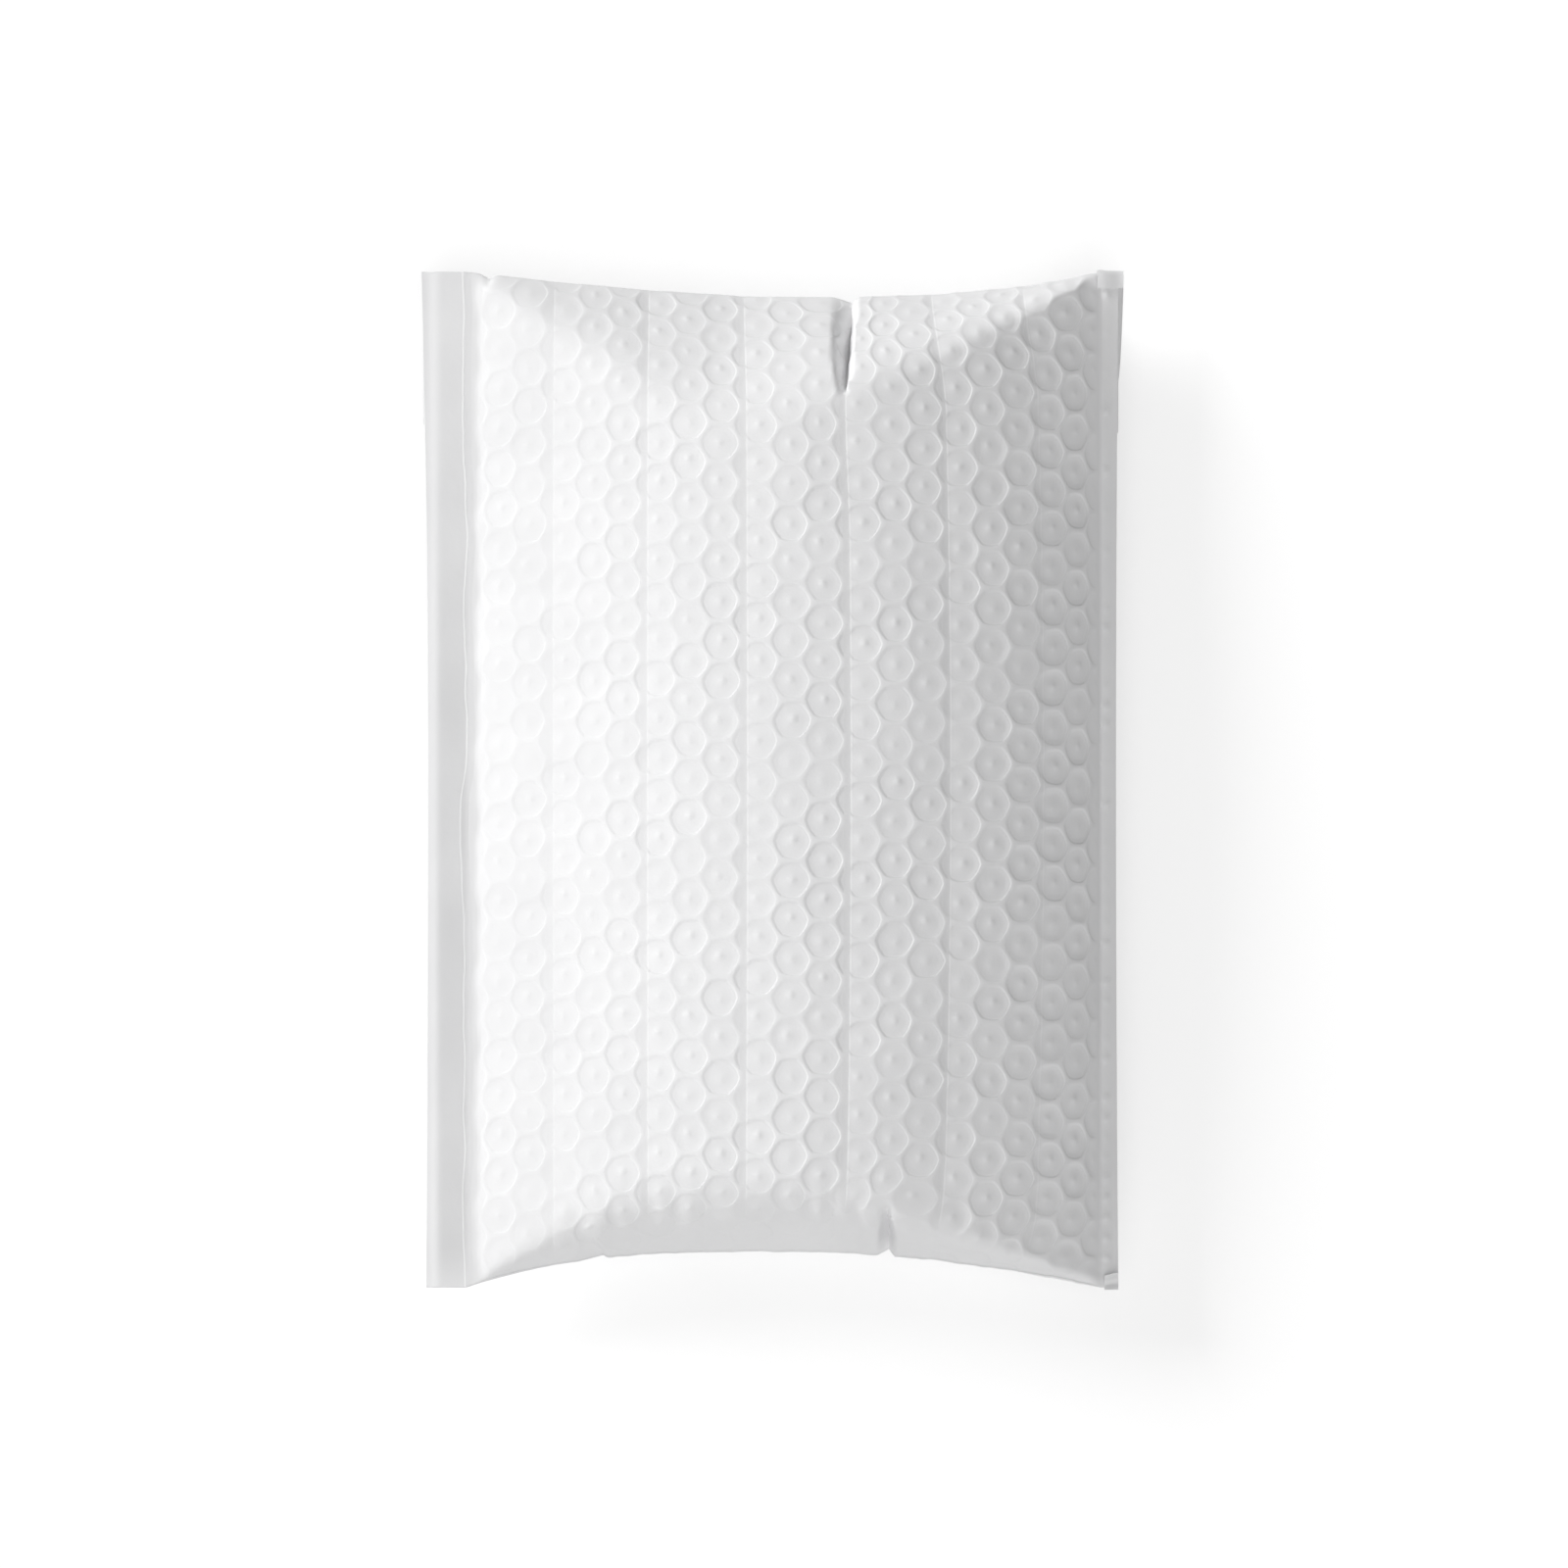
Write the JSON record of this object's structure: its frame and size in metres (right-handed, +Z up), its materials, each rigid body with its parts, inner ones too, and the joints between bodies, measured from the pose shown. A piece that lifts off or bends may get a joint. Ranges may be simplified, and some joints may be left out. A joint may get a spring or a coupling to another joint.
{
  "type": "bubble mailer bag",
  "caption": "Closed padded film mailer, puffed into a pillow, with flat sealed side strips, rounded end folds, pressed-in puckers and a dimpled bubble lining, lying on its back.",
  "frame": {"origin": "centre of the bounding box at its lowest plane, which is the flat patch on which the bag lies", "axes": "+Z up out of the front face, +Y towards the top fold, +X towards the narrow right seal"},
  "size_m": [0.2014, 0.2938, 0.0507],
  "materials": {
    "white_film": "satin white film"
  },
  "bodies": {
    "root": {"bubble_bag": "white_film"}
  },
  "joints": []
}
